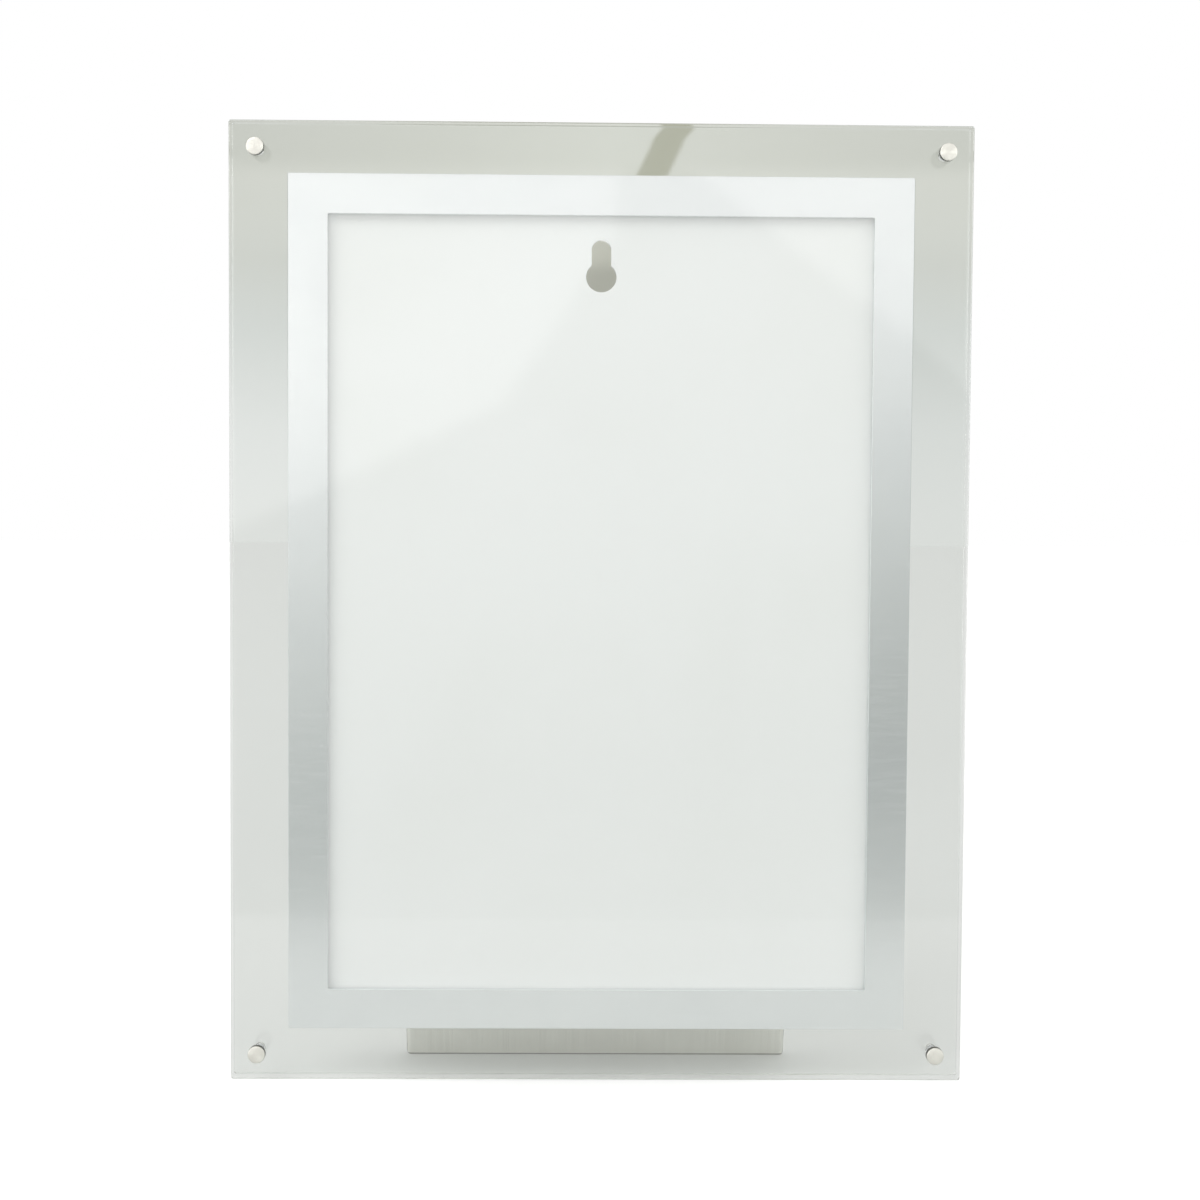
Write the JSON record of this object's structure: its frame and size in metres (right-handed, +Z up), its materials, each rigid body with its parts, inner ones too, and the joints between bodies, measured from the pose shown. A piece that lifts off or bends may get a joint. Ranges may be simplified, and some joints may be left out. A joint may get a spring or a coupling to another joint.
{
  "type": "poster frame",
  "caption": "Upright frame for a small poster: clear sheets clamped by corner studs round a metal rim and white panel, with a keyhole for a wall screw and a folding table leg.",
  "frame": {"origin": "on the table under the middle of the standing frame's box", "axes": "+X to the right and +Z up as the front is looked at, +Y from the front to the back"},
  "size_m": [0.277, 0.0452, 0.3596],
  "materials": {
    "clear_acrylic": "clear, polished, very slightly grey",
    "satin_aluminium": "satin",
    "white_plastic": "smooth matt",
    "satin_nickel": "satin, turned",
    "brushed_steel": "brushed",
    "zinc_steel": "zinc plated"
  },
  "bodies": {
    "frame": {"front_sheet": "clear_acrylic", "back_sheet": "clear_acrylic", "rim_frame": "satin_aluminium", "back_panel": "white_plastic", "stud_cap_top_left": "satin_nickel", "stud_cap_top_right": "satin_nickel", "stud_cap_bottom_left": "satin_nickel", "stud_cap_bottom_right": "satin_nickel", "stud_screw_top_left": "zinc_steel", "stud_screw_top_right": "zinc_steel", "stud_screw_bottom_left": "zinc_steel", "stud_screw_bottom_right": "zinc_steel", "hinge_leaf": "brushed_steel", "hinge_pin": "zinc_steel", "hinge_screw_left": "zinc_steel", "hinge_screw_middle": "zinc_steel", "hinge_screw_right": "zinc_steel", "hinge_nut_left": "zinc_steel", "hinge_nut_middle": "zinc_steel", "hinge_nut_right": "zinc_steel"},
    "leg": {"leg": "brushed_steel"}
  },
  "joints": [
    {"name": "leg_fold", "type": "hinge", "parent": "frame", "child": "leg", "pos_m": [0, -0.00059, 0.05949], "axis": [-1, 0, 0], "range_deg": [0, 20]}
  ]
}
